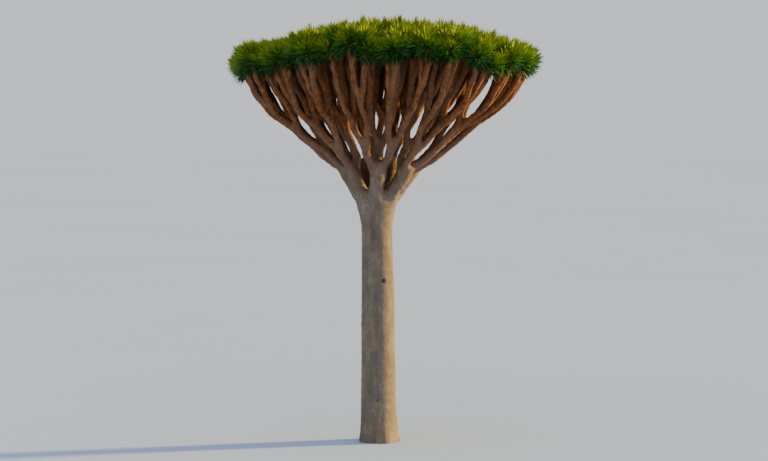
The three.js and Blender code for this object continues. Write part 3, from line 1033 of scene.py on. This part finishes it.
# Turns each of some directions towards another by its angle
def turned(directions, towards, angles):
    return directions * np.cos(angles)[:, None] + towards * np.sin(angles)[:, None]


# Vertices, faces and tints of all the leaves of some rosettes
def leafArrays(group, random):
    count = leaves["perRosette"]
    total = len(group) * count
    tips = np.repeat(np.array([rosette["tip"] for rosette in group]), count, axis=0)
    axes = np.repeat(np.array([rosetteAxis(rosette) for rosette in group]), count, axis=0)
    share = np.tile((np.arange(count) + 0.5) / count, len(group))
    share = np.clip(share + random.uniform(-leaves["orderSpread"], leaves["orderSpread"], total), 0, 1)
    turn = np.repeat(random.uniform(0, 2 * np.pi, len(group)), count)
    turn = turn + np.tile(np.arange(count) * goldenAngle, len(group))
    turn = turn + random.uniform(-leaves["turnSpread"], leaves["turnSpread"], total)
    size = np.repeat(random.uniform(*leaves["rosetteSizes"], len(group)), count)

    level, across = squareTo(axes)
    outward = turned(level, across, turn)
    tilt = leaves["innerTilt"] + (leaves["outerTilt"] - leaves["innerTilt"]) * share ** leaves["tiltPower"]
    tilt = np.radians(tilt) + random.normal(0, leaves["tiltSpread"], total)
    direction = turned(axes, outward, tilt)
    face = turned(-outward, axes, tilt)
    side = np.cross(axes, outward)
    roll = random.normal(0, leaves["rollSpread"], total)
    side, face = turned(side, face, roll), turned(face, -side, roll)

    length = leaves["length"] * size * (1 - leaves["shortening"] * share ** 2)
    length = length * random.uniform(*leaves["leafSizes"], total)
    root = tips + axes * (leaves["rootRise"] - leaves["clasp"] * share)[:, None]
    root += outward * (leaves["rootOut"] * np.sqrt(share))[:, None]
    droop = leaves["droop"] * np.sin(np.clip(tilt, 0, np.pi / 2)) * random.uniform(*leaves["droops"], total)
    tip = 3 * len(leaves["sections"])  # a leaf's last vertex is its point
    verts = np.empty((total, tip + 1, 3))
    for i, (way, width) in enumerate(leaves["sections"]):
        centre = root + direction * (length * way)[:, None]
        centre[:, 2] -= droop * length * way ** 2
        half = side * (leaves["width"] * width / 2)
        verts[:, 3 * i] = centre + half
        verts[:, 3 * i + 1] = centre - half
        verts[:, 3 * i + 2] = centre - face * (leaves["keel"] * width)
    verts[:, tip] = root + direction * length[:, None]
    verts[:, tip, 2] -= droop * length

    quads, triangles = [], []
    base = (np.arange(total) * (tip + 1))[:, None]
    for a, b in ((0, 1), (1, 2), (2, 0)):
        quads.append(base + np.array([a, b, 3 + b, 3 + a]))
        triangles.append(base + np.array([3 + a, 3 + b, tip]))
    triangles.append(base + np.array([2, 1, 0]))

    rosetteTint = np.repeat(random.normal(0, tinting["rosetteSpread"], len(group)), count)
    # the lean term paints shade onto level and hanging leaves and light onto upright ones; the place term
    # darkens older outer leaves
    tint = tinting["first"] + tinting["byPlace"] * share + tinting["paintedShadeByLean"] * (1 - direction[:, 2])
    tint = tint + rosetteTint + random.normal(0, tinting["leafSpread"], total)
    tint = np.clip(np.round(tint), 0, len(leafMaterials) - 1).astype(int)
    faces = [np.concatenate(quads), np.concatenate(triangles)]
    slots = np.tile(tint, len(quads) + len(triangles))
    return verts.reshape(-1, 3), faces, slots


leafRandom = np.random.default_rng(leaves["seed"])
for number, sector in enumerate(leaves["sectors"]):
    ownMasses = [i for i in range(len(masses)) if boughOf[i] in sector]
    group = [rosette for i in ownMasses for rosette in dealtRosettes[i]]
    verts, faces, slots = leafArrays(group, leafRandom)
    piece = objectFromArrays(f"leaves_{number + 1:02d}", verts, faces, slots=slots)
    for material in leafMaterials:
        piece.data.materials.append(material)
    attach(piece, "root")
    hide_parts(*[massNodes[i] for i in ownMasses])
    print(piece.name, len(group), "rosettes,", len(faces[0]) * 2 + len(faces[1]), "triangles")


# Pale floor and soft studio light
studio = {
    "floorSize": 400,
    "floorColour": fromScreen(176, 195, 235),
    "floorClouds": 0.05,          # scale of the floor's faint clouds
    "floorShade": 0.96,           # how dark they are
    "floorStops": (0.35, 0.65),
    "floorRoughness": 0.9,
    "floorSpecular": 0.0,         # no sheen, so that it looks alike from all sides
    "worldColour": (0.88, 0.91, 0.95, 1),
    "worldStrength": 0.85,
    "camera": {"distance": 42, "elevation": 3.5, "lens": 108, "sensor": 36, "clipEnd": 600},
    "target": Vector((0.10, 0, 3.86)),  # what the camera and the fill look at
    # a low, warm sun with soft edges, in degrees behind the tree's right and above the ground
    "key": {"behind": 15, "height": 13, "strength": 13.5, "angle": 4, "colour": (1.0, 0.66, 0.17)},
    "fill": {"place": Vector((-14, -22, 9)), "width": 12, "power": 450, "colour": (0.92, 0.96, 1.0)},
}


def floorMaterial():
    material, tree, shader = newMaterial("paleFloor")
    clouds = addNoise(tree, objectCoordinates(tree), studio["floorClouds"])
    pale = studio["floorColour"]
    shade = [c * studio["floorShade"] for c in pale[:3]] + [1]
    stops = list(zip(studio["floorStops"], (shade, pale)))
    feed(tree, shader.inputs["Base Color"], addRamp(tree, clouds, stops))
    feed(tree, shader.inputs["Roughness"], studio["floorRoughness"])
    feed(tree, shader.inputs["Specular IOR Level"], studio["floorSpecular"])
    return material


# Puts a light or the camera at its place, looking that way
def putLooking(name, data, place, way):
    looking = bpy.data.objects.new(name, data)
    looking.location = place
    looking.rotation_euler = way.to_track_quat("-Z", "Y").to_euler()
    scene.collection.objects.link(looking)
    return looking


def addKey(settings):
    behind, height = math.radians(settings["behind"]), math.radians(settings["height"])
    fromTree = (onCircle(behind) * math.cos(height)).to_3d() + up * math.sin(height)
    key = bpy.data.lights.new("key", "SUN")
    key.energy = settings["strength"]
    key.angle = math.radians(settings["angle"])
    key.color = settings["colour"]
    putLooking("key", key, fromTree * studio["camera"]["distance"], -fromTree)


def addFill(settings):
    fill = bpy.data.lights.new("frontFill", "AREA")
    fill.shape = "DISK"
    fill.size = settings["width"]
    fill.energy = settings["power"]
    fill.color = settings["colour"]
    putLooking("frontFill", fill, settings["place"], studio["target"] - settings["place"])


def addCamera(settings):
    elevation = math.radians(settings["elevation"])
    away = Vector((0, -math.cos(elevation), math.sin(elevation))) * settings["distance"]
    camera = bpy.data.cameras.new("camera")
    camera.lens = settings["lens"]
    camera.sensor_width = settings["sensor"]
    camera.clip_end = settings["clipEnd"]
    return putLooking("camera", camera, studio["target"] + away, -away)


bm = bmesh.new()
bmesh.ops.create_grid(bm, x_segments=4, y_segments=4, size=studio["floorSize"] / 2)
floor = objectFrom(bm, "floor")
floor.data.materials.append(floorMaterial())

world = bpy.data.worlds.new("studioWorld")
scene.world = world
world.use_nodes = True
background = world.node_tree.nodes["Background"]
background.inputs["Color"].default_value = studio["worldColour"]
background.inputs["Strength"].default_value = studio["worldStrength"]
addKey(studio["key"])
addFill(studio["fill"])
scene.camera = addCamera(studio["camera"])
print("studio ready")
